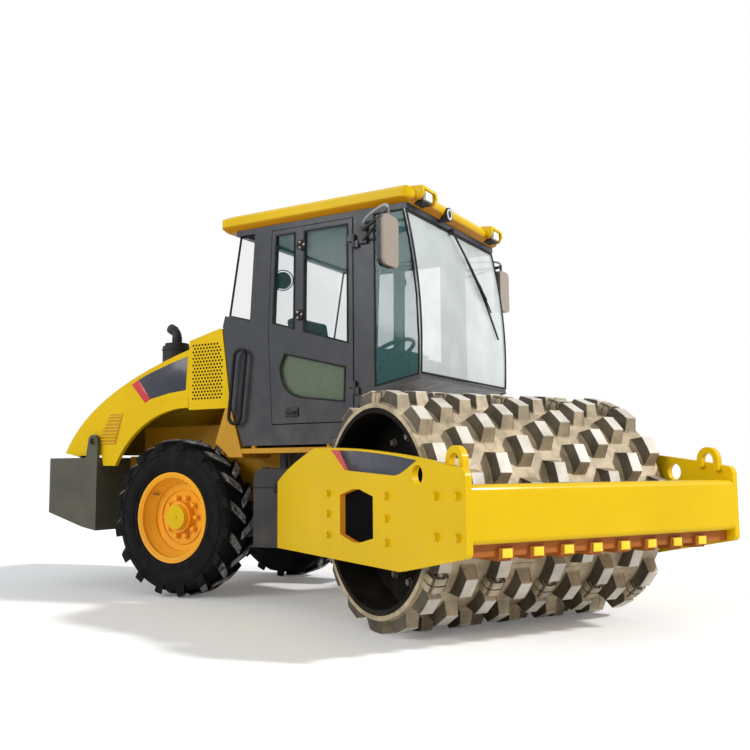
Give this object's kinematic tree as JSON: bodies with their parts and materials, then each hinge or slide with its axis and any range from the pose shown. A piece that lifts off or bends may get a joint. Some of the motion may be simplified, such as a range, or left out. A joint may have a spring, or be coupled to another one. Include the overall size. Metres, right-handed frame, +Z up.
{
  "type": "road roller",
  "caption": "Articulated padfoot soil compactor with a glazed cab, tipping engine hood, lugged rear wheels and a wide front drum carried between side plates.",
  "frame": {"origin": "middle of the bounding box's bottom face, on the ground, with the front frame turned to the right as in the picture", "axes": "+X forward along the rear frame, +Y to the machine's left, +Z up"},
  "size_m": [5.2972, 3.0664, 2.8265],
  "materials": {
    "yellow_paint": "gloss",
    "grey_paint": "satin",
    "black_paint": "satin",
    "black_plastic": "matte",
    "seat_cloth": "matte",
    "tinted_glass": "gloss",
    "cast_pads": "worn",
    "drum_steel": "worn",
    "rod_chrome": "polished",
    "tyre_rubber": "matte"
  },
  "bodies": {
    "rear_unit": {"chassis": "yellow_paint", "rear_hitch": "black_paint", "rear_axle": "black_paint", "counterweight": "grey_paint", "engine_block": "black_paint", "cowl": "yellow_paint", "step_boxes": "black_plastic", "air_filter": "black_paint", "cab_floor": "grey_paint", "cab_frame": "grey_paint", "cab_roof": "yellow_paint", "windscreen": "tinted_glass", "rear_window": "tinted_glass", "side_glass": "tinted_glass", "seat": "seat_cloth", "console": "black_plastic", "mirrors": "black_plastic", "roof_lamps": "black_plastic", "grab_handles": "black_paint"},
    "hood_unit": {"hood": "yellow_paint", "hood_louvres": "yellow_paint", "muffler": "black_paint"},
    "right_door": {"door_right": "grey_paint", "door_right_glass": "tinted_glass"},
    "left_door": {"door_left": "grey_paint", "door_left_glass": "tinted_glass"},
    "front_unit": {"side_plates": "yellow_paint", "front_beam": "yellow_paint", "front_yoke": "yellow_paint", "scrapers": "yellow_paint", "drum_mounts": "black_paint", "lifting_hooks": "yellow_paint"},
    "drum_unit": {"drum": "drum_steel", "pad_shell_a": "cast_pads", "pad_shell_b": "cast_pads", "pad_shell_c": "cast_pads"},
    "right_wheel": {"tyre_right": "tyre_rubber", "rim_right": "yellow_paint"},
    "left_wheel": {"tyre_left": "tyre_rubber", "rim_left": "yellow_paint"},
    "right_barrel": {"barrel_right": "black_paint"},
    "right_rod": {"rod_right": "rod_chrome"},
    "left_barrel": {"barrel_left": "black_paint"},
    "left_rod": {"rod_left": "rod_chrome"}
  },
  "joints": [
    {"name": "steering", "type": "hinge", "parent": "rear_unit", "child": "front_unit", "pos_m": [0.13942, 0.47318, 0.69], "axis": [0, 0, 1], "range_deg": [-4.5, 65.5]},
    {"name": "drum_roll", "type": "hinge", "parent": "front_unit", "child": "drum_unit", "pos_m": [1.26126, -0.18764, 0.69], "axis": [0.5075, 0.8616, 0], "continuous": true},
    {"name": "right_wheel_roll", "type": "hinge", "parent": "rear_unit", "child": "right_wheel", "pos_m": [-1.20858, -0.21482, 0.578], "axis": [0, 1, 0], "continuous": true},
    {"name": "left_wheel_roll", "type": "hinge", "parent": "rear_unit", "child": "left_wheel", "pos_m": [-1.20858, 1.16118, 0.578], "axis": [0, 1, 0], "continuous": true},
    {"name": "right_door_swing", "type": "hinge", "parent": "rear_unit", "child": "right_door", "pos_m": [0.33642, -0.28282, 1.5], "axis": [0, 0, 1], "range_deg": [0, 85]},
    {"name": "left_door_swing", "type": "hinge", "parent": "rear_unit", "child": "left_door", "pos_m": [0.33642, 1.22918, 1.5], "axis": [0, 0, -1], "range_deg": [0, 85]},
    {"name": "hood_lift", "type": "hinge", "parent": "rear_unit", "child": "hood_unit", "pos_m": [-2.49858, 0.47318, 1.062], "axis": [0, -1, 0], "range_deg": [0, 50]},
    {"name": "right_cylinder_swing", "type": "hinge", "parent": "rear_unit", "child": "right_barrel", "pos_m": [-0.36058, 0.19318, 0.67], "axis": [0, 0, 1], "range_deg": [-1.2, 16.7]},
    {"name": "right_cylinder_stroke", "type": "slide", "parent": "right_barrel", "child": "right_rod", "axis": [0.9931, -0.1176, 0], "range_m": [-0.024, 0.332]},
    {"name": "left_cylinder_swing", "type": "hinge", "parent": "rear_unit", "child": "left_barrel", "pos_m": [-0.36058, 0.75318, 0.67], "axis": [0, 0, 1], "range_deg": [-1.4, 19.2]},
    {"name": "left_cylinder_stroke", "type": "slide", "parent": "left_barrel", "child": "left_rod", "axis": [0.9855, -0.1697, 0], "range_m": [-0.3, 0.022]}
  ],
  "couplings": [
    {"joint": "right_cylinder_swing", "follows": "steering", "ratio": 0.2529},
    {"joint": "right_cylinder_stroke", "follows": "steering", "m_per_rad": 0.289},
    {"joint": "left_cylinder_swing", "follows": "steering", "ratio": 0.2905},
    {"joint": "left_cylinder_stroke", "follows": "steering", "m_per_rad": -0.2611}
  ]
}
